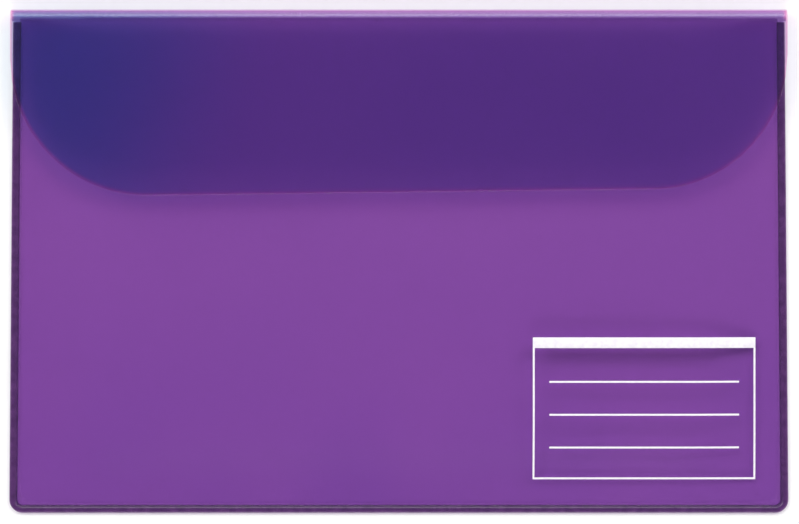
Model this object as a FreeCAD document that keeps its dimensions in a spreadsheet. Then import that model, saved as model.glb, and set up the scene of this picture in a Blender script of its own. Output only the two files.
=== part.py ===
import FreeCAD, Part
import os
import Sketcher
from FreeCAD import Placement, Rotation, Vector

# A flat portfolio case of clear vinyl film, lying on its back on a table. One sheet of film is the
# back panel, rolls over at the top edge and comes down as the flap. A second sheet is the front of
# the pocket. A pressed weld joins the two along both sides and the foot, and the mouth stays open
# under the flap. X runs across the case, +Y towards the fold and +Z up from the table, and the
# origin is on the table under the middle of the case.

SIZES = {
    "case_width": (235.0, "across the welds, halfway up the case"),
    "case_height": (152.4, "from the foot to the outside of the fold"),
    "side_flare": (1.2, "how much further out each side is at the foot than at the fold"),
    "film": (0.4, "thickness of the vinyl film"),
    "pocket_depth": (4.3, "room between the two panels when the case is filled"),
    "flap_clearance": (0.3, "air between the flap and the front panel"),
    "flap_drop": (55.2, "from the outside of the fold to the free edge of the flap"),
    "flap_corner": (41.0, "radius of the flap's two free corners"),
    "flap_overhang": (0.3, "how far the flap stands out past the welds on each side"),
    "mouth_setback": (0.8, "from the axis of the fold back to the mouth's edge"),
    "weld_width": (2.4, "width of the pressed seam"),
    "groove_width": (0.8, "width of the groove along the inside of the seam"),
    "groove_depth": (0.25, "how deep the die presses the groove"),
    "weld_round": (0.3, "rounding of the seam's trimmed outer edge"),
    "foot_corner": (4.0, "radius of the two corners at the foot"),
    "hem_width": (1.0, "flat strip of the front panel beside the seam"),
    "slope_run": (5.0, "width of the slope from that strip up to the flat of the front panel"),
    "cut_margin": (1.0, "how far a cut runs past the edge that it opens"),
}

doc = FreeCAD.newDocument("portfolio_case")
sheet = doc.addObject("Spreadsheet::Sheet", "Sizes")
for row, (alias, (size, meaning)) in enumerate(SIZES.items(), start=1):
    sheet.set(f"A{row}", meaning)
    sheet.set(f"B{row}", str(size))
    sheet.setAlias(f"B{row}", alias)
doc.recompute()

# Formulas for the levels and edges that several pieces share.
STACK = "(3 * Sizes.film + Sizes.pocket_depth + Sizes.flap_clearance)"
FOLD_RADIUS = f"({STACK} / 2)"
FOOT = "(-Sizes.case_height / 2)"
FOLD_AXIS = f"(Sizes.case_height / 2 - {FOLD_RADIUS})"
MOUTH = f"({FOLD_AXIS} - Sizes.mouth_setback)"
FLAP_EDGE = "(Sizes.case_height / 2 - Sizes.flap_drop)"
PANEL_FOOT = f"({FOOT} + Sizes.weld_width)"
ARM_TOP = f"({FOOT} + Sizes.foot_corner + Sizes.weld_width)"


def half_width(y, inset="0"):
    """Half the case's width at height y, less an inset, along its gently flared side."""
    return f"(Sizes.case_width / 2 - Sizes.side_flare * {y} / Sizes.case_height - ({inset}))"


FLAP_HALF = half_width(MOUTH, "-Sizes.flap_overhang")


def number(formula):
    """What a formula comes to with the sheet's sizes."""
    return float(sheet.evalExpression(formula))


def new_body(name):
    """A PartDesign body whose label is the sub-part's name."""
    body = doc.addObject("PartDesign::Body", f"{name}_body")
    body.Label = name
    return body


def new_sketch(body, name, height="0"):
    """A sketch on the body's XY plane, raised to a height."""
    sketch = body.newObject("Sketcher::SketchObject", name)
    plane = [item for item in body.Origin.OriginFeatures if item.Role == "XY_Plane"][0]
    sketch.AttachmentSupport = (plane, "")
    sketch.MapMode = "FlatFace"
    sketch.setExpression("AttachmentOffset.Base.z", height)
    return sketch


def draw_lines(sketch, corners):
    """Closed straight lines through corners, each a pair of formulas, joined end to start."""
    points = [Vector(number(x), number(y), 0) for x, y in corners]
    for index, start in enumerate(points):
        end = points[(index + 1) % len(points)]
        sketch.addGeometry(Part.LineSegment(start, end))
    for index in range(len(points)):
        following = (index + 1) % len(points)
        sketch.addConstraint(Sketcher.Constraint("Coincident", index, 2, following, 1))


def pin_corner(sketch, index, x, y):
    """Ties the start of one line to its place, given as formulas from the origin."""
    for kind, formula in (("DistanceX", x), ("DistanceY", y)):
        constraint = Sketcher.Constraint(kind, -1, 1, index, 1, number(formula))
        place = sketch.addConstraint(constraint)
        sketch.renameConstraint(place, f"{kind}_{index}")
        sketch.setExpression(f"Constraints.{kind}_{index}", formula)


def outline(body, name, corners, height="0"):
    """A closed outline with every corner tied to its formulas."""
    sketch = new_sketch(body, name, height)
    draw_lines(sketch, corners)
    for index, (x, y) in enumerate(corners):
        pin_corner(sketch, index, x, y)
    return sketch


def mirrored_outline(body, name, right_corners, height="0"):
    """A closed outline that is the same on both sides of the Y axis, from its right-hand corners."""
    sketch = new_sketch(body, name, height)
    left_corners = [(f"(-{x})", y) for x, y in reversed(right_corners)]
    draw_lines(sketch, right_corners + left_corners)
    last = len(right_corners) + len(left_corners) - 1
    for index, (x, y) in enumerate(right_corners):
        pin_corner(sketch, index, x, y)
        sketch.addConstraint(Sketcher.Constraint("Symmetric", index, 1, last - index, 1, -2))
    return sketch


def pad(body, sketch, name, length):
    """Raises a sketch into a plate."""
    feature = body.newObject("PartDesign::Pad", name)
    feature.Profile = sketch
    feature.setExpression("Length", length)
    sketch.Visibility = False
    doc.recompute()
    return feature


def pocket(body, sketch, name, depth):
    """Cuts a sketch down into the body from the height that the sketch lies at."""
    before = body.Shape.Volume
    feature = body.newObject("PartDesign::Pocket", name)
    feature.Profile = sketch
    feature.setExpression("Length", depth)
    doc.recompute()
    assert body.Shape.Volume < before, f"{name} cuts nothing"
    return feature


def loft(body, kind, name, first, second):
    """A straight-sided loft between two sketches, added to the body or cut from it."""
    feature = body.newObject(kind, name)
    feature.Profile = first
    feature.Sections = [second]
    feature.Ruled = True
    doc.recompute()
    return feature


def fillet(body, base, name, edges, radius):
    """Rounds the numbered edges of the last feature."""
    feature = body.newObject("PartDesign::Fillet", name)
    feature.Base = (base, edges)
    feature.setExpression("Radius", radius)
    doc.recompute()
    return feature


def edges_where(feature, wanted):
    """The names of a feature's edges that pass a test on their two ends."""
    names = []
    for index, edge in enumerate(feature.Shape.Edges, start=1):
        if wanted(edge.Vertexes[0].Point, edge.Vertexes[-1].Point):
            names.append(f"Edge{index}")
    return names


CLOSE = 1e-4  # two lengths this near in millimetres are the same


def upright(start, end):
    return abs(start.x - end.x) < CLOSE and abs(start.y - end.y) < CLOSE


def level_at(start, end, height):
    return abs(start.z - height) < CLOSE and abs(end.z - height) < CLOSE


# Back panel: the flat sheet on the table. It lies between the welds, and above the mouth it widens
# to the full width of the flap that it carries on into.
def make_back_panel():
    body = new_body("back_panel")
    right_side = [
        (FLAP_HALF, FOLD_AXIS),
        (FLAP_HALF, MOUTH),
        (half_width(MOUTH, "Sizes.weld_width"), MOUTH),
        (half_width(PANEL_FOOT, "Sizes.weld_width"), PANEL_FOOT),
    ]
    pad(body, mirrored_outline(body, "back_outline", right_side), "back_sheet", "Sizes.film")
    return body


# Front panel: a flat strip beside the welds, a slope up on three sides and a flat face, like a very
# shallow tray upside down. Its fourth side is the open mouth.
def tray_section(body, name, inset, height, top):
    """An outline that stands in from the welds by an inset and runs up to a top edge."""
    from_outside = f"(Sizes.weld_width + {inset})"
    foot = f"({PANEL_FOOT} + {inset})"
    right_side = [(half_width(top, from_outside), top), (half_width(foot, from_outside), foot)]
    return mirrored_outline(body, name, right_side, height)


def make_front_panel():
    body = new_body("front_panel")
    whole = [
        (half_width(MOUTH, "Sizes.weld_width"), MOUTH),
        (half_width(PANEL_FOOT, "Sizes.weld_width"), PANEL_FOOT),
    ]
    pad(body, mirrored_outline(body, "front_outline", whole), "front_sheet", "Sizes.film")
    hem = "Sizes.hem_width"
    plateau = "(Sizes.hem_width + Sizes.slope_run)"
    outer_foot = tray_section(body, "outer_foot", hem, "Sizes.film", MOUTH)
    outer_top = tray_section(body, "outer_top", plateau, "Sizes.film + Sizes.pocket_depth", MOUTH)
    loft(body, "PartDesign::AdditiveLoft", "rise", outer_foot, outer_top)
    past_mouth = f"({MOUTH} + Sizes.cut_margin)"
    inner_foot = tray_section(body, "inner_foot", hem, "0", past_mouth)
    inner_top = tray_section(body, "inner_top", plateau, "Sizes.pocket_depth", past_mouth)
    full = body.Shape.Volume
    loft(body, "PartDesign::SubtractiveLoft", "hollow", inner_foot, inner_top)
    assert body.Shape.Volume < full, "hollow cuts nothing"
    body.setExpression("Placement.Base.z", "Sizes.film")
    return body


# Flap: the free end of the back sheet, with two large round corners.
def make_flap():
    body = new_body("flap")
    right_side = [(FLAP_HALF, FOLD_AXIS), (FLAP_HALF, FLAP_EDGE)]
    plate = pad(body, mirrored_outline(body, "flap_outline", right_side), "flap_sheet", "Sizes.film")
    free_edge = number(FLAP_EDGE)
    corners = edges_where(plate, lambda a, b: upright(a, b) and abs(a.y - free_edge) < CLOSE)
    fillet(body, plate, "flap_corners", corners, "Sizes.flap_corner")
    body.setExpression("Placement.Base.z", f"{STACK} - Sizes.film")
    return body


# Fold: the half turn of film that joins the back panel to the flap and works as their hinge.
def half_cylinder(name, radius):
    cylinder = doc.addObject("Part::Cylinder", name)
    cylinder.Angle = 180
    cylinder.setExpression("Radius", radius)
    cylinder.setExpression("Height", f"2 * {FLAP_HALF}")
    cylinder.Placement = Placement(Vector(0, 0, 0), Rotation(Vector(0, 1, 0), 90))
    cylinder.setExpression("Placement.Base.x", f"-{FLAP_HALF}")
    return cylinder


def make_flap_fold():
    fold = doc.addObject("Part::Cut", "flap_fold_cut")
    fold.Label = "flap_fold"
    fold.Base = half_cylinder("fold_outside", FOLD_RADIUS)
    fold.Tool = half_cylinder("fold_inside", f"{FOLD_RADIUS} - Sizes.film")
    fold.setExpression("Placement.Base.y", FOLD_AXIS)
    fold.setExpression("Placement.Base.z", FOLD_RADIUS)
    return fold


# Side welds: the two films fused into one flange, with the die's groove beside the pocket and a
# trimmed outer edge that the heat leaves rounded.
def make_side_weld(name, side):
    def edge(y, inset):
        return f"({side} * {half_width(y, inset)})"

    body = new_body(name)
    flange_corners = [
        (edge(MOUTH, "0"), MOUTH),
        (edge(ARM_TOP, "0"), ARM_TOP),
        (edge(ARM_TOP, "Sizes.weld_width"), ARM_TOP),
        (edge(MOUTH, "Sizes.weld_width"), MOUTH),
    ]
    flange = pad(body, outline(body, f"{name}_outline", flange_corners), f"{name}_flange", "2 * Sizes.film")
    top = number("2 * Sizes.film")
    trimmed = number(half_width("0", "Sizes.weld_width / 2"))
    long_edge = edges_where(
        flange,
        lambda a, b: level_at(a, b, top) and abs(a.y - b.y) > CLOSE and abs(a.x + b.x) / 2 > trimmed,
    )
    fillet(body, flange, f"{name}_round", long_edge, "Sizes.weld_round")
    groove_edge = "Sizes.weld_width - Sizes.groove_width"
    below = f"({ARM_TOP} - Sizes.cut_margin)"
    above = f"({MOUTH} + Sizes.cut_margin)"
    past_panel = "Sizes.weld_width + Sizes.cut_margin"
    groove_corners = [
        (edge(above, groove_edge), above),
        (edge(below, groove_edge), below),
        (edge(below, past_panel), below),
        (edge(above, past_panel), above),
    ]
    groove = outline(body, f"{name}_groove_outline", groove_corners, "2 * Sizes.film")
    pocket(body, groove, f"{name}_groove", "Sizes.groove_depth")
    return body


# Foot weld: the same seam along the foot, with both rounded corners and the short arms that meet
# the side welds.
def make_foot_weld():
    body = new_body("bottom_weld")
    inner = "Sizes.weld_width"
    flange_side = [
        (half_width(PANEL_FOOT, inner), PANEL_FOOT),
        (half_width(ARM_TOP, inner), ARM_TOP),
        (half_width(ARM_TOP), ARM_TOP),
        (half_width(FOOT), FOOT),
    ]
    bottom_outline = mirrored_outline(body, "bottom_outline", flange_side)
    flange = pad(body, bottom_outline, "bottom_flange", "2 * Sizes.film")
    foot = number(FOOT)
    corners = edges_where(flange, lambda a, b: upright(a, b) and abs(a.y - foot) < CLOSE)
    rounded = fillet(body, flange, "bottom_corners", corners, "Sizes.foot_corner")
    top = number("2 * Sizes.film")
    along_foot = edges_where(
        rounded,
        lambda a, b: level_at(a, b, top) and abs(a.y - foot) < CLOSE and abs(b.y - foot) < CLOSE,
    )
    fillet(body, rounded, "bottom_round", along_foot, "Sizes.weld_round")
    groove_line = f"({PANEL_FOOT} - Sizes.groove_width)"
    groove_edge = "Sizes.weld_width - Sizes.groove_width"
    above = f"({ARM_TOP} + Sizes.cut_margin)"
    past_panel = "Sizes.weld_width + Sizes.cut_margin"
    over_panel = f"({PANEL_FOOT} + Sizes.cut_margin)"
    groove_side = [
        (half_width(over_panel, past_panel), over_panel),
        (half_width(above, past_panel), above),
        (half_width(above, groove_edge), above),
        (half_width(groove_line, groove_edge), groove_line),
    ]
    groove = mirrored_outline(body, "bottom_groove_outline", groove_side, "2 * Sizes.film")
    pocket(body, groove, "bottom_groove", "Sizes.groove_depth")
    return body


sub_parts = [
    make_back_panel(),
    make_front_panel(),
    make_flap_fold(),
    make_flap(),
    make_side_weld("left_weld", "-1"),
    make_side_weld("right_weld", "1"),
    make_foot_weld(),
]
doc.recompute()

for item in doc.Objects:
    faults = {"Invalid", "Error"} & set(item.State)
    assert not faults, f"{item.Label}: {sorted(faults)}"
for piece in sub_parts:
    shape = piece.Shape
    assert not shape.isNull() and shape.isValid() and len(shape.Solids) == 1, piece.Label

os.makedirs("parts", exist_ok=True)
for piece in sub_parts:
    piece.Shape.exportStep(f"parts/{piece.Label}.step")
    box = piece.Shape.BoundBox
    corners = [round(value, 3) for value in (box.XMin, box.YMin, box.ZMin, box.XMax, box.YMax, box.ZMax)]
    print(piece.Label, f"volume {piece.Shape.Volume:.1f} mm3", corners)
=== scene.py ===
# %% [markdown]
# A portfolio case of see-through vinyl film, lying on its back with its flap closed. The whole
# object is two sheets of film and the pressed weld that joins them, so this lesson is about thin
# clear sheets: how to give them a true shape, and how to let light pass through them in layers.

# %% Load the frame
import math
import bpy
import numpy as np
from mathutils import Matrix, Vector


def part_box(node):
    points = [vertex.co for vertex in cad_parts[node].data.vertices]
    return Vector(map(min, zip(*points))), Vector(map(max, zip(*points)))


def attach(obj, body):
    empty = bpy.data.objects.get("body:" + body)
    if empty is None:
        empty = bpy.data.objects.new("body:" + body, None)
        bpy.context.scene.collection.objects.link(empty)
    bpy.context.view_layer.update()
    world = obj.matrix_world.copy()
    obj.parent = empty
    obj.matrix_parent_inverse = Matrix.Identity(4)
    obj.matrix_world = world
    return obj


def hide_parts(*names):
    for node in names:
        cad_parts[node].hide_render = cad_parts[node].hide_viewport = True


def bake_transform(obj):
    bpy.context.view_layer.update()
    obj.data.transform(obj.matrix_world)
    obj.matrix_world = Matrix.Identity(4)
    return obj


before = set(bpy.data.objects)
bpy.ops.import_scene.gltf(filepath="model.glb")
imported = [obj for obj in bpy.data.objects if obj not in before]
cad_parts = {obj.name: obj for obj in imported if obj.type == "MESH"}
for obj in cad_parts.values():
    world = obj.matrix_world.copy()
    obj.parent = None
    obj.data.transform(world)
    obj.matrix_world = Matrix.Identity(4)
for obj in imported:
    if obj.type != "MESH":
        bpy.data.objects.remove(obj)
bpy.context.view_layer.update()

# %% [markdown]
# The main places are read from the CAD solids, so the sheets fall where the solids are. The film's
# thickness is that of the back panel, and the fold turns about the middle of its half tube.

# %% Sizes from the solids
MM = 0.001
back_low, back_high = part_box("back_panel")
front_low, front_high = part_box("front_panel")
flap_low, flap_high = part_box("flap")
fold_low, fold_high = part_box("flap_fold")
right_low, right_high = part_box("right_weld")
foot_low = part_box("bottom_weld")[0]

film = back_high.z - back_low.z
fold_axis_y = fold_low.y
fold_axis_z = (fold_low.z + fold_high.z) / 2
fold_middle = (fold_high.z - fold_low.z) / 2 - film / 2
weld_width = front_low.y - foot_low.y
flap_half = flap_high.x
mouth = front_high.y
inner_top = right_low.x
outer_top = inner_top + weld_width
side_lean = (right_high.x - outer_top) / (right_high.y - right_low.y)
print("film", film, "fold radius", fold_middle, "weld", weld_width, "lean", side_lean)


def outer_half(y):
    """Half the case's width at y. The sides flare a little towards the foot."""
    return outer_top + side_lean * (right_high.y - y)


# %% [markdown]
# Film is drawn as a closed shell: a grid of points on the middle of the sheet is copied to both
# faces, and the two are joined by a half-round rim, because a die-cut edge in soft vinyl is
# slightly rounded and catches the light. A Solidify modifier would leave the rim square, so the
# shell is made straight from the grid. A grid also carries numbers for its points, such as how near
# each is to a cut edge, which the materials read as attributes.

# %% Closed shells from grids
RIM_STEPS = 4


def grid_normals(points):
    """Unit normals of a grid of points, from its rows and columns."""
    across = np.gradient(points, axis=1)
    along = np.gradient(points, axis=0)
    normals = np.cross(across, along)
    return normals / np.linalg.norm(normals, axis=2, keepdims=True)


def border_of(rows, columns):
    """The grid's border as one loop of (row, column), counter-clockwise."""
    loop = [(0, c) for c in range(columns - 1)]
    loop += [(r, columns - 1) for r in range(rows - 1)]
    loop += [(rows - 1, c) for c in range(columns - 1, 0, -1)]
    loop += [(r, 0) for r in range(rows - 1, 0, -1)]
    return loop


# %% The shell itself
def film_shell(name, points, thickness, attributes):
    """A closed mesh of a sheet: two faces and a rounded rim."""
    rows, columns, _ = points.shape
    normals = grid_normals(points)
    loop = border_of(rows, columns)
    top = points + normals * thickness / 2
    bottom = points - normals * thickness / 2
    vertices = [top.reshape(-1, 3), bottom.reshape(-1, 3)]
    count = rows * columns
    index = np.arange(count).reshape(rows, columns)
    faces = []
    for r in range(rows - 1):
        for c in range(columns - 1):
            a, b, d, e = index[r, c], index[r, c + 1], index[r + 1, c + 1], index[r + 1, c]
            faces.append((a, b, d, e))
            faces.append((e + count, d + count, b + count, a + count))
    ring = np.array([points[r, c] for r, c in loop])
    ring_normals = np.array([normals[r, c] for r, c in loop])
    tangent = np.roll(ring, -1, axis=0) - np.roll(ring, 1, axis=0)
    outward = np.cross(tangent, ring_normals)
    outward /= np.linalg.norm(outward, axis=1, keepdims=True)
    loops = [[index[r, c] for r, c in loop]]
    offset = 2 * count
    for step in range(1, RIM_STEPS):
        turn = math.pi * step / RIM_STEPS
        lift = thickness / 2 * math.cos(turn)
        reach = thickness / 2 * math.sin(turn)
        vertices.append(ring + ring_normals * lift + outward * reach)
        loops.append(list(range(offset, offset + len(loop))))
        offset += len(loop)
    loops.append([index[r, c] + count for r, c in loop])
    for upper, lower in zip(loops, loops[1:]):
        for i in range(len(loop)):
            j = (i + 1) % len(loop)
            faces.append((upper[j], upper[i], lower[i], lower[j]))
    mesh = bpy.data.meshes.new(name)
    mesh.from_pydata(np.concatenate(vertices).tolist(), [], [tuple(map(int, f)) for f in faces])
    for label, values in attributes.items():
        on_rim = [values[r, c] for r, c in loop] * (RIM_STEPS - 1)
        numbers = np.concatenate([values.ravel(), values.ravel(), np.array(on_rim)])
        layer = mesh.attributes.new(label, "FLOAT", "POINT")
        layer.data.foreach_set("value", numbers.astype(np.float32))
    mesh.polygons.foreach_set("use_smooth", [True] * len(mesh.polygons))
    mesh.update()
    piece = bpy.data.objects.new(name, mesh)
    bpy.context.scene.collection.objects.link(piece)
    volume = signed_volume(mesh)
    print(name, len(mesh.polygons), "faces, volume", round(volume * 1e9, 1), "mm3")
    return piece


def signed_volume(mesh):
    """The mesh's volume, negative if its faces point inwards."""
    mesh.calc_loop_triangles()
    corners = np.array([[mesh.vertices[i].co[:] for i in t.vertices] for t in mesh.loop_triangles])
    return float(np.einsum("ij,ij->i", corners[:, 0], np.cross(corners[:, 1], corners[:, 2])).sum() / 6)


def eased(t):
    """A smooth step from 0 to 1."""
    t = np.clip(t, 0, 1)
    return t * t * (3 - 2 * t)


def columns_across(count):
    """Places from -1 to 1, closer together towards both sides, where the outlines curve."""
    even = np.linspace(-1, 1, count)
    return 0.45 * even + 0.55 * np.sin(even * math.pi / 2)


# %% [markdown]
# The back sheet is one piece of film on the real case: it lies flat, turns over at the top in a
# soft half circle and comes down as the flap. It is built row by row along that path, so the film
# is continuous round the fold. The flap's two free corners are large arcs, and its free edge is a
# little out of square, as hand-placed film is.

# %% Back sheet, fold and flap
CORNER_LEFT = 41.7 * MM
CORNER_RIGHT = 40.1 * MM
FLAP_SKEW = 0.0124
ACROSS = 190
BACK_ROWS, FOLD_ROWS, FLAP_ROWS = 60, 18, 56
EDGE_REACH = 1.1 * MM


def flap_edge(x):
    """Where the flap's free edge lies at x: a sloping line, then an arc at each corner."""
    line = flap_low.y + FLAP_SKEW * x
    for side, radius in ((-1, CORNER_LEFT), (1, CORNER_RIGHT)):
        past = side * x - (flap_half - radius)
        if past > 0:
            line += radius - math.sqrt(max(radius**2 - past**2, 0))
    return line


def flap_wave(x, y):
    """The gentle ripple of a film flap that has been folded: nothing at the fold, most at its edge."""
    away = eased((fold_axis_y - y) / (30 * MM))
    ripple = 0.07 * np.sin(x / (31 * MM) + 0.6) + 0.05 * np.sin(x / (17 * MM) - y / (23 * MM))
    return away * (ripple - 0.05) * MM


# %% Rows of the back sheet, round the fold and down the flap
def back_sheet_grid():
    """Points on the middle of the sheet, with near_edge, is_flap and on_fold for each of them."""
    spread = columns_across(ACROSS)
    rows, near_edge, is_flap, on_fold = [], [], [], []
    shoulder = 0.5 * MM
    body = np.linspace(front_low.y - 0.1 * MM, mouth, BACK_ROWS)
    for y in list(body) + [mouth + shoulder * 0.5, mouth + shoulder, fold_axis_y]:
        inner = outer_half(min(y, mouth)) - weld_width + 0.1 * MM
        half = inner + (flap_half - inner) * float(eased((y - mouth) / shoulder))
        x = spread * half
        rows.append(np.stack([x, np.full(ACROSS, y), np.full(ACROSS, film / 2)], axis=1))
        near_edge.append(np.zeros(ACROSS))
        is_flap.append(np.zeros(ACROSS))
        on_fold.append(np.zeros(ACROSS))
    x = spread * flap_half
    side = 1 - np.clip((flap_half - np.abs(x)) / EDGE_REACH, 0, 1)
    for turn in np.linspace(-90, 90, FOLD_ROWS + 2)[1:]:
        lean = math.radians(turn)
        y = fold_axis_y + fold_middle * math.cos(lean)
        z = fold_axis_z + fold_middle * math.sin(lean)
        rows.append(np.stack([x, np.full(ACROSS, y), np.full(ACROSS, z)], axis=1))
        near_edge.append(side)
        is_flap.append(np.full(ACROSS, float(eased((turn + 90) / 180))))
        on_fold.append(np.full(ACROSS, max(math.cos(lean), 0.0)))
    ends = np.array([flap_edge(value) for value in x])
    flap_z = flap_low.z + film / 2
    steps = np.linspace(0, 1, FLAP_ROWS + 1)[1:]
    for step in 1 - (1 - steps) ** 1.5:
        y = fold_axis_y + (ends - fold_axis_y) * step
        z = flap_z + flap_wave(x, y)
        rows.append(np.stack([x, y, z], axis=1))
        to_arc = np.abs(y - ends)
        slope = np.gradient(ends, x)
        to_edge = np.minimum(to_arc / np.sqrt(1 + slope**2), flap_half - np.abs(x))
        near_edge.append(1 - np.clip(to_edge / EDGE_REACH, 0, 1))
        is_flap.append(np.ones(ACROSS))
        on_fold.append(np.zeros(ACROSS))
    return np.array(rows), np.array(near_edge), np.array(is_flap), np.array(on_fold)


# %% Build the back sheet
points, near_edge, is_flap, on_fold = back_sheet_grid()
back_marks = {"near_edge": near_edge, "is_flap": is_flap, "on_fold": on_fold}
back_sheet = film_shell("back_sheet_and_flap", points, film, back_marks)

# %% [markdown]
# The front sheet is welded down on three sides and rises from the weld in a soft shoulder to the
# flat of the pocket, so its height follows the distance to the nearest weld. The shoulder is long,
# because a steep one would mirror the lamps as a pale band. The middle of the sheet has a ripple of
# about a tenth of a millimetre, which is what makes a reflection in film wander.

# %% Front sheet
FRONT_ROWS, FRONT_ACROSS = 120, 190
SHOULDER = 27.0 * MM
HEM = 0.8 * MM
MOUTH_REACH = 1.0 * MM


def front_height(x, y):
    """Height of the middle of the front sheet."""
    from_side = outer_half(y) - weld_width - np.abs(x)
    from_foot = y - front_low.y
    low = film * 1.5
    high = front_high.z - film / 2
    rise_side = eased((from_side - HEM) / SHOULDER)
    rise_foot = eased((from_foot - HEM) / SHOULDER)
    ripple = 0.06 * np.sin(x / (27 * MM) + y / (41 * MM))
    ripple += 0.05 * np.sin(x / (13 * MM) - y / (19 * MM) + 1.0)
    ripple += 0.04 * np.sin(y / (9 * MM) + x / (37 * MM))
    plain = rise_side * rise_foot
    return low + (high - low) * plain + (ripple - 0.12) * MM * plain


# %% Build the front sheet
def front_sheet_grid():
    """Points on the middle of the front sheet, and how near each is to the mouth's cut edge."""
    spread = columns_across(FRONT_ACROSS)
    along = columns_across(FRONT_ROWS)
    start, end = front_low.y - 0.1 * MM, mouth + MOUTH_REACH
    rows, near_edge = [], []
    for share in (along + 1) / 2:
        y = start + (end - start) * share
        x = spread * (outer_half(min(y, mouth)) - weld_width + 0.1 * MM)
        z = front_height(x, y)
        rows.append(np.stack([x, np.full(FRONT_ACROSS, y), z], axis=1))
        near_edge.append(np.full(FRONT_ACROSS, 1 - min((end - y) / EDGE_REACH, 1)))
    return np.array(rows), np.array(near_edge)


points, near_edge = front_sheet_grid()
front_sheet = film_shell("front_sheet", points, film, {"near_edge": near_edge})

# %% [markdown]
# The seam is pressed by a heated die in one stroke along both sides and the foot: a groove right
# beside the pocket and a narrow flange outside it. It follows a path, so Geometry Nodes sweep the
# seam's cross-section along that path. The path runs down one side, round the two corners at the
# foot and up the other side.

# %% Pressed seam
FOOT_RADIUS = 4.0 * MM
GROOVE_WIDTH, GROOVE_FLOOR = 0.8 * MM, 0.55 * MM
FLANGE_TOP = 2 * film
SEAM_CORNER_STEPS = 10


def seam_path():
    """The seam's outer line, from the right-hand top round the foot to the left-hand top."""
    right = [(outer_half(y), y) for y in np.linspace(mouth, foot_low.y + FOOT_RADIUS, 60)]
    centre_x = outer_half(foot_low.y + FOOT_RADIUS) - FOOT_RADIUS
    for step in range(1, SEAM_CORNER_STEPS + 1):
        turn = math.pi / 2 * step / SEAM_CORNER_STEPS
        x = centre_x + FOOT_RADIUS * math.cos(turn)
        y = foot_low.y + FOOT_RADIUS * (1 - math.sin(turn))
        right.append((x, y))
    foot = [(x, foot_low.y) for x in np.linspace(centre_x, -centre_x, 80)[1:-1]]
    left = [(-x, y) for x, y in reversed(right)]
    return right + foot + left


# %% The seam's cross-section
def seam_section():
    """The seam's cross-section: distance inwards from the outer line, and height."""
    soft = 0.18 * MM
    wall = 0.12 * MM
    edge = [(0.0, soft), (0.05 * MM, 0.05 * MM), (soft, 0.0)]
    floor = [(weld_width, 0.0), (weld_width, GROOVE_FLOOR - 0.03 * MM)]
    groove = [
        (weld_width - 0.1 * MM, GROOVE_FLOOR - 0.02 * MM),
        (weld_width - GROOVE_WIDTH + wall, GROOVE_FLOOR),
    ]
    ridge = weld_width - GROOVE_WIDTH - wall
    flange = [
        (ridge, FLANGE_TOP - 0.03 * MM),
        (ridge - wall, FLANGE_TOP),
        (2 * soft, FLANGE_TOP - 0.02 * MM),
    ]
    outer = [(0.1 * MM, FLANGE_TOP - 0.12 * MM), (0.0, FLANGE_TOP - 2 * soft)]
    return edge + floor + groove + flange + outer


# %% Nodes that sweep the section along the path
def curve_object(name, places, cyclic):
    """A poly curve through places."""
    data = bpy.data.curves.new(name, "CURVE")
    data.dimensions = "3D"
    spline = data.splines.new("POLY")
    spline.points.add(len(places) - 1)
    spline.points.foreach_set("co", [value for place in places for value in (*place, 1.0)])
    spline.use_cyclic_u = cyclic
    made = bpy.data.objects.new(name, data)
    bpy.context.scene.collection.objects.link(made)
    return made


def sweep_tree(section):
    """Geometry Nodes that sweep a cross-section along the curve they are given."""
    tree = bpy.data.node_groups.new("seam_sweep", "GeometryNodeTree")
    tree.interface.new_socket("Path", in_out="INPUT", socket_type="NodeSocketGeometry")
    tree.interface.new_socket("Section scale", in_out="INPUT", socket_type="NodeSocketFloat")
    tree.interface.new_socket("Material", in_out="INPUT", socket_type="NodeSocketMaterial")
    tree.interface.new_socket("Seam", in_out="OUTPUT", socket_type="NodeSocketGeometry")
    nodes, link = tree.nodes, tree.links.new
    start, end = nodes.new("NodeGroupInput"), nodes.new("NodeGroupOutput")
    profile = nodes.new("GeometryNodeObjectInfo")
    profile.inputs["Object"].default_value = section
    scale = nodes.new("GeometryNodeTransform")
    upright = nodes.new("GeometryNodeSetCurveNormal")
    upright.mode = "Z_UP"
    sweep = nodes.new("GeometryNodeCurveToMesh")
    sweep.inputs["Fill Caps"].default_value = True
    whole = nodes.new("GeometryNodeRealizeInstances")
    finish = nodes.new("GeometryNodeSetMaterial")
    link(profile.outputs["Geometry"], scale.inputs["Geometry"])
    link(start.outputs["Section scale"], scale.inputs["Scale"])
    link(start.outputs["Path"], upright.inputs["Curve"])
    link(upright.outputs["Curve"], sweep.inputs["Curve"])
    link(scale.outputs["Geometry"], sweep.inputs["Profile Curve"])
    link(sweep.outputs["Mesh"], whole.inputs["Geometry"])
    link(whole.outputs["Geometry"], finish.inputs["Geometry"])
    link(start.outputs["Material"], finish.inputs["Material"])
    link(finish.outputs["Geometry"], end.inputs["Seam"])
    return tree


def socket_of(tree, name):
    """The identifier of a named input."""
    return [item.identifier for item in tree.interface.items_tree if item.name == name][0]


def made_by_nodes(name, base, tree, settings):
    """Runs a tree on an object and keeps the result as a plain mesh."""
    modifier = base.modifiers.new("nodes", "NODES")
    modifier.node_group = tree
    for label, value in settings.items():
        modifier[socket_of(tree, label)] = value
    evaluated = base.evaluated_get(bpy.context.evaluated_depsgraph_get())
    mesh = bpy.data.meshes.new_from_object(evaluated)
    mesh.name = name
    base.modifiers.remove(modifier)
    bpy.data.objects.remove(base)
    piece = bpy.data.objects.new(name, mesh)
    bpy.context.scene.collection.objects.link(piece)
    print(name, len(mesh.polygons), "faces, volume", round(signed_volume(mesh) * 1e9, 1), "mm3")
    return piece


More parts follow.
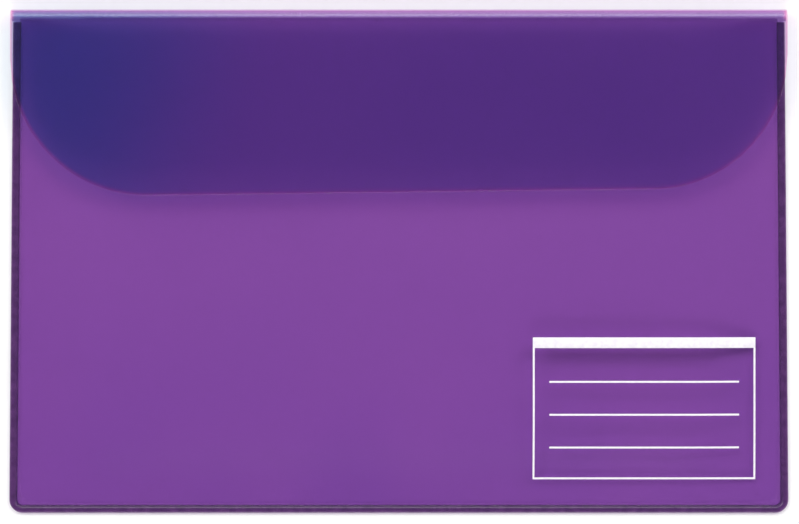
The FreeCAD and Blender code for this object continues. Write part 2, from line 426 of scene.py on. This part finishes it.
# %% [markdown]
# Plasticised PVC film passes light and dyes it. Each face of a sheet tints what goes through by
# the square root of the sheet's own tint, so one sheet, two sheets and three sheets each come out
# deeper, as they do in real layers. A Transparent shader does this without bending the light, which
# suits a film under half a millimetre thick. Over it lies a gloss that grows at a slant, and a trace
# of solid colour for the haze in calendered film.

# %% Colours and one helper for nodes
def linear(hex_colour):
    """An sRGB hex colour as linear red, green, blue and alpha."""
    parts = [int(hex_colour[i : i + 2], 16) / 255 for i in (1, 3, 5)]
    return tuple(p / 12.92 if p <= 0.04045 else ((p + 0.055) / 1.055) ** 2.4 for p in parts) + (1.0,)


def add(tree, kind, settings=None, links=None, **properties):
    """Adds a node, sets its properties and inputs, and links outputs into its inputs."""
    node = tree.nodes.new(kind)
    for name, value in properties.items():
        setattr(node, name, value)
    for name, value in (settings or {}).items():
        node.inputs[name].default_value = value
    for name, output in (links or {}).items():
        tree.links.new(output, node.inputs[name])
    return node


def new_material(name):
    """An empty node material and its output."""
    material = bpy.data.materials.new(name)
    material.use_nodes = True
    material.node_tree.nodes.clear()
    return material, material.node_tree, add(material.node_tree, "ShaderNodeOutputMaterial")


# %% How film passes, scatters and reflects light
VINYL_IOR = 1.53
FILM_BUMP = 0.35


def attribute(tree, name):
    """A number that the mesh carries for each point."""
    return add(tree, "ShaderNodeAttribute", attribute_name=name).outputs["Fac"]


def ramp(tree, value, low, high, first, second):
    """Between two colours as a value goes from low to high, smoothly."""
    share = add(
        tree, "ShaderNodeMapRange", {"From Min": low, "From Max": high}, {"Value": value},
        interpolation_type="SMOOTHSTEP", clamp=True,
    ).outputs["Result"]
    return blended(tree, share, first, second)


def blended(tree, share, first, second):
    """A mix of two colours, each an output or four numbers."""
    mix = add(tree, "ShaderNodeMix", data_type="RGBA")
    tree.links.new(share, mix.inputs[0])
    for place, colour in ((6, first), (7, second)):
        if isinstance(colour, tuple):
            mix.inputs[place].default_value = colour
        else:
            tree.links.new(colour, mix.inputs[place])
    return mix.outputs[2]


def relief_of(tree, noise, strength, height):
    """A fine relief from noise, as a normal. Strength is a share, height is in metres."""
    place = add(tree, "ShaderNodeTexCoord").outputs["Object"]
    grain = add(tree, "ShaderNodeTexNoise", noise, {"Vector": place})
    depth = {"Strength": strength, "Distance": height}
    return add(tree, "ShaderNodeBump", depth, {"Height": grain.outputs[0]}).outputs["Normal"]


def film_surface(tree, output, tint, haze_colour, haze, roughness, bump_scale, bump_height):
    """Clear tinted film: light goes through, a little is scattered, and the outer face is glossy."""
    relief = relief_of(tree, {"Scale": bump_scale, "Detail": 3.0}, FILM_BUMP, bump_height)
    through = add(tree, "ShaderNodeBsdfTransparent", None, {"Color": tint})
    solid = add(
        tree, "ShaderNodeBsdfPrincipled",
        {"Base Color": haze_colour, "Roughness": 0.5, "IOR": VINYL_IOR, "Specular IOR Level": 0.0},
        {"Normal": relief},
    )
    body = add(tree, "ShaderNodeMixShader", {0: haze})
    tree.links.new(through.outputs[0], body.inputs[1])
    tree.links.new(solid.outputs[0], body.inputs[2])
    shine = add(tree, "ShaderNodeBsdfAnisotropic", {"Roughness": roughness}, {"Normal": relief})
    slant = add(tree, "ShaderNodeFresnel", {"IOR": VINYL_IOR}).outputs[0]
    inside = add(tree, "ShaderNodeNewGeometry").outputs["Backfacing"]
    outside = add(tree, "ShaderNodeMath", {0: 1.0}, {1: inside}, operation="SUBTRACT")
    share = add(tree, "ShaderNodeMath", None, {0: slant, 1: outside.outputs[0]}, operation="MULTIPLY")
    surface = add(tree, "ShaderNodeMixShader", None, {0: share.outputs[0]})
    tree.links.new(body.outputs[0], surface.inputs[1])
    tree.links.new(shine.outputs[0], surface.inputs[2])
    tree.links.new(surface.outputs[0], output.inputs["Surface"])


# %% Places and clouds that the materials share
GRAIN_SCALE = 1 / (1.6 * MM)
GRAIN_HEIGHT = 0.004 * MM
HAZE = 0.012


def position(tree, axis):
    """One of the piece's own coordinates, in metres."""
    place = add(tree, "ShaderNodeTexCoord").outputs["Object"]
    return add(tree, "ShaderNodeSeparateXYZ", None, {0: place}).outputs[axis]


def cloudy(tree, size, low, high):
    """A slow noise as a share from 0 to 1."""
    place = add(tree, "ShaderNodeTexCoord").outputs["Object"]
    noise = add(tree, "ShaderNodeTexNoise", {"Scale": 1 / size, "Detail": 1.0}, {"Vector": place})
    return add(
        tree, "ShaderNodeMapRange", {"From Min": low, "From Max": high}, {"Value": noise.outputs[0]}
    ).outputs["Result"]


# %% [markdown]
# The front sheet is clear violet and darker towards the foot. That darkening is painted shade: the
# fall-off of the light, painted into the film's tint. Its cut edge at the mouth carries painted shade
# too. A slow cloudiness runs over it, because calendered film is never perfectly even. To the eye it
# is a clear, level colour that has some depth to it, instead of a flat fill.

# %% Front film
def per_face(red, green, blue):
    """One face's tint from the whole sheet's tint."""
    return (math.sqrt(red), math.sqrt(green), math.sqrt(blue), 1.0)


def front_film():
    """Violet film with a slow cloudiness, and painted shade towards the foot and along the mouth's cut
    edge.
    """
    material, tree, output = new_material("calendered_pvc_film_front")
    # Painted shade: the second colour is darker, and the ramp brings it in towards the foot, where the
    # light falls off.
    clear = per_face(0.752, 0.528, 0.826)
    painted_shade_tint = per_face(0.668, 0.466, 0.792)
    painted_falloff = ramp(tree, position(tree, "Y"), 35 * MM, -80 * MM, clear, painted_shade_tint)
    slow = cloudy(tree, 60 * MM, 0.35, 0.75)
    shaded = blended(tree, slow, painted_falloff, per_face(0.722, 0.504, 0.812))
    # Painted shade: the film is painted darker along the mouth's cut edge.
    edge = blended(tree, attribute(tree, "near_edge"), shaded, per_face(0.62, 0.42, 0.70))
    film_surface(tree, output, edge, linear("#7a3f9c"), HAZE, 0.16, GRAIN_SCALE, GRAIN_HEIGHT)
    return material


# %% [markdown]
# The back sheet and the flap are the same film. The flap lies over two more layers and reads as a deep
# violet, cooler towards its left end. Its cut edge is painted a light pink, a painted glow for the
# light that travels along inside a sheet and leaves where it is cut. The turn of the fold is painted
# pinker and lighter, a painted highlight and glow where the sheet turns over.

# %% Back film
def back_film():
    """Violet film that turns cooler along the flap, with a painted pink highlight on the fold and a
    painted pink glow on the cut edge.
    """
    material, tree, output = new_material("calendered_pvc_film_back")
    flat = per_face(0.690, 0.528, 0.770)
    warm = per_face(0.605, 0.585, 0.800)
    cool = per_face(0.365, 0.585, 0.760)
    slanted = add(
        tree, "ShaderNodeMath", {1: -0.35}, {0: position(tree, "Y"), 2: position(tree, "X")},
        operation="MULTIPLY_ADD",
    ).outputs[0]
    flap = ramp(tree, slanted, -128 * MM, -56 * MM, cool, warm)
    whole = blended(tree, attribute(tree, "is_flap"), flat, flap)
    # Painted highlight and glow: the crest of the fold is painted pinker and lighter.
    crest = attribute(tree, "on_fold")
    painted_fold_highlight = add(tree, "ShaderNodeMath", {1: 3.0}, {0: crest}, operation="POWER").outputs[0]
    fold = blended(tree, painted_fold_highlight, whole, per_face(0.80, 0.42, 0.78))
    # Painted glow: the cut edge is painted a light pink.
    edge = blended(tree, attribute(tree, "near_edge"), fold, per_face(0.95, 0.56, 0.80))
    film_surface(tree, output, edge, linear("#6a35a0"), HAZE, 0.14, GRAIN_SCALE, GRAIN_HEIGHT)
    return material


# %% [markdown]
# Fused film is denser and duller than clear film, and the die leaves a fine texture on it. To the eye
# it is a dark line round the pocket, with a broken highlight instead of a clean one.

# %% Welded film
def weld_film():
    """Fused film: dark, blotchy and dull."""
    material, tree, output = new_material("pressed_pvc_weld")
    blotch = cloudy(tree, 2.5 * MM, 0.35, 0.65)
    tint = blended(tree, blotch, per_face(0.30, 0.13, 0.36), per_face(0.40, 0.20, 0.46))
    film_surface(tree, output, tint, linear("#5c3a78"), 0.22, 0.30, 1 / (0.45 * MM), 0.05 * MM)
    return material


# %% Put the materials on, and sweep the seam
front_sheet.data.materials.append(front_film())
back_sheet.data.materials.append(back_film())
weld_material = weld_film()

turned = [(inward, -height, 0.0) for inward, height in reversed(seam_section())]
section = curve_object("seam_section", turned, True)
path = curve_object("seam_path", [(x, y, 0.0) for x, y in seam_path()], False)
sweep = sweep_tree(section)
seam = made_by_nodes("pressed_seam", path, sweep, {"Section scale": 1.0, "Material": weld_material})
bpy.data.objects.remove(section)
lows = np.array([v.co[:] for v in seam.data.vertices]).min(axis=0)
highs = np.array([v.co[:] for v in seam.data.vertices]).max(axis=0)
print("seam box", lows, highs)

# %% [markdown]
# Cases like this often carry a one-colour screen print. This one has a blank name panel: a frame, a
# heading bar and three ruled lines, with no lettering. Each stroke is a thin strip of ink that
# follows the front sheet's surface. Opaque white ink on clear film reads crisp and slightly matt.

# %% Screen print
PRINT_LEFT, PRINT_RIGHT = 40.5 * MM, 108.0 * MM
PRINT_BOTTOM, PRINT_TOP = -66.0 * MM, -23.0 * MM
INK = 0.03 * MM
INK_GRAIN, INK_BUMP = 0.4 * MM, 0.2


def ink_strip(left, right, bottom, top):
    """Grid points of one straight stroke, lying just above the film."""
    across = max(2, int((right - left) / (1.5 * MM)) + 1)
    along = max(2, int((top - bottom) / (1.5 * MM)) + 1)
    x, y = np.meshgrid(np.linspace(left, right, across), np.linspace(bottom, top, along))
    z = front_height(x, y) + film / 2 + INK
    return np.stack([x, y, z], axis=2)


def ink_panel():
    """The strokes of the blank name panel, as left, right, bottom and top."""
    line, bar, inset = 0.55 * MM, 3.2 * MM, 5.0 * MM
    strokes = [(PRINT_LEFT, PRINT_RIGHT, PRINT_TOP - bar, PRINT_TOP)]
    strokes.append((PRINT_LEFT, PRINT_RIGHT, PRINT_BOTTOM, PRINT_BOTTOM + line))
    strokes.append((PRINT_LEFT, PRINT_LEFT + line, PRINT_BOTTOM + line, PRINT_TOP - bar))
    strokes.append((PRINT_RIGHT - line, PRINT_RIGHT, PRINT_BOTTOM + line, PRINT_TOP - bar))
    for step in (1, 2, 3):
        y = PRINT_TOP - bar - (PRINT_TOP - bar - PRINT_BOTTOM) * step / 4
        strokes.append((PRINT_LEFT + inset, PRINT_RIGHT - inset, y - line, y))
    return strokes


def ink_material():
    """Opaque white ink with a fine tooth."""
    material, tree, output = new_material("screen_printed_vinyl_ink")
    patchy = cloudy(tree, 1.2 * MM, 0.3, 0.7)
    colour = blended(tree, patchy, linear("#fbf9fc"), linear("#f1ecf5"))
    relief = relief_of(tree, {"Scale": 1 / INK_GRAIN}, INK_BUMP, 0.01 * MM)
    ink = add(
        tree, "ShaderNodeBsdfPrincipled", {"Roughness": 0.45, "IOR": 1.5},
        {"Base Color": colour, "Normal": relief},
    )
    tree.links.new(ink.outputs[0], output.inputs["Surface"])
    return material


# %% Lay the strokes on the film
white_ink = ink_material()
ink_pieces = []
for number, (left, right, bottom, top) in enumerate(ink_panel(), start=1):
    stroke = film_shell(f"print_stroke_{number}", ink_strip(left, right, bottom, top), INK, {})
    stroke.data.materials.append(white_ink)
    ink_pieces.append(stroke)

# %% [markdown]
# The camera looks straight down, as on a copy stand.

# %% Camera
VIEW_WIDTH = 0.2418
CAMERA_HEIGHT = 1.5
scene = bpy.context.scene
lens = bpy.data.cameras.new("copy_stand_camera")
lens.sensor_width = 36.0
lens.lens = 36.0 * (CAMERA_HEIGHT - fold_axis_z) / VIEW_WIDTH
camera = bpy.data.objects.new("copy_stand_camera", lens)
camera.location = (0.0002, -0.0002, CAMERA_HEIGHT)
scene.collection.objects.link(camera)
scene.camera = camera
print("lens", round(lens.lens, 1), "mm")

# %% [markdown]
# The light is a soft studio. Wide suns come from four directions, so it falls evenly on the film and
# on the table. They stand low enough that no gentle slope of the film mirrors one into the lens. The
# sky is bright near the horizon and dim overhead for the same reason. Heights and widths are degrees.

# %% Lights
SUN_HEIGHT, SUN_WIDTH = 42, 26
SUNS = {-50: 1.00, 50: 0.80, 180: 0.65, 0: 0.65}
HORIZON, OVERHEAD = (1.3, 1.3, 1.3, 1.0), (0.2, 0.2, 0.2, 1.0)


def add_sun(turn, height, level, width):
    """A wide sun from a compass turn (0 is +Y, clockwise) and a height above the table."""
    data = bpy.data.lights.new(f"soft_sun_{turn}", "SUN")
    data.energy = level
    data.angle = math.radians(width)
    lamp = bpy.data.objects.new(data.name, data)
    lamp.rotation_euler = (math.radians(90 - height), 0, math.radians(180 - turn))
    scene.collection.objects.link(lamp)


for turn, level in SUNS.items():
    add_sun(turn, SUN_HEIGHT, level, SUN_WIDTH)
print(len(SUNS), "suns")

world = bpy.data.worlds.new("pale_studio")
world.use_nodes = True
scene.world = world
sky = world.node_tree
sky.nodes.clear()
way = add(sky, "ShaderNodeTexCoord").outputs["Generated"]
height = add(sky, "ShaderNodeSeparateXYZ", None, {0: way}).outputs["Z"]
brightness = ramp(sky, height, 0.25, 0.70, HORIZON, OVERHEAD)
background = add(sky, "ShaderNodeBackground", {"Strength": 1.0}, {"Color": brightness})
sky.links.new(background.outputs[0], add(sky, "ShaderNodeOutputWorld").inputs["Surface"])

# %% [markdown]
# The table is matt white paper. Clear film shows its colour only against something pale, so most of
# the case's colour is light that comes back from this sheet.

# %% Table
TABLE_HALF = 4.0
FLOOR_GAP = 0.2 * MM
corners = [(x * TABLE_HALF, y * TABLE_HALF) for x, y in ((-1, -1), (1, -1), (1, 1), (-1, 1))]
table_mesh = bpy.data.meshes.new("table")
table_mesh.from_pydata([(x, y, back_low.z - FLOOR_GAP) for x, y in corners], [], [(0, 1, 2, 3)])
table = bpy.data.objects.new("table", table_mesh)
scene.collection.objects.link(table)
paper, paper_tree, paper_output = new_material("matt_white_paper")
speck = cloudy(paper_tree, 3 * MM, 0.3, 0.7)
tone = blended(paper_tree, speck, linear("#fefefe"), linear("#fcfcfc"))
matt = {"Roughness": 0.9, "Specular IOR Level": 0.0}
sheet_of_paper = add(paper_tree, "ShaderNodeBsdfPrincipled", matt, {"Base Color": tone})
paper_tree.links.new(sheet_of_paper.outputs[0], paper_output.inputs["Surface"])
table_mesh.materials.append(paper)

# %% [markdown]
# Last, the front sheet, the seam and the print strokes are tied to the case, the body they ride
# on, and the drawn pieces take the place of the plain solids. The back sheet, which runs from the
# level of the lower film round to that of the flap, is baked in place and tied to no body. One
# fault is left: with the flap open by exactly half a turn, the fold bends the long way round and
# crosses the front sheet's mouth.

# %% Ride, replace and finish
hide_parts("back_panel", "flap_fold", "flap")
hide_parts("front_panel")
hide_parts("left_weld", "right_weld", "bottom_weld")
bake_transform(back_sheet)
for piece in [front_sheet, seam, *ink_pieces]:
    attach(piece, "case")

scene.cycles.transparent_max_bounces = 40
scene.view_settings.view_transform = "Standard"
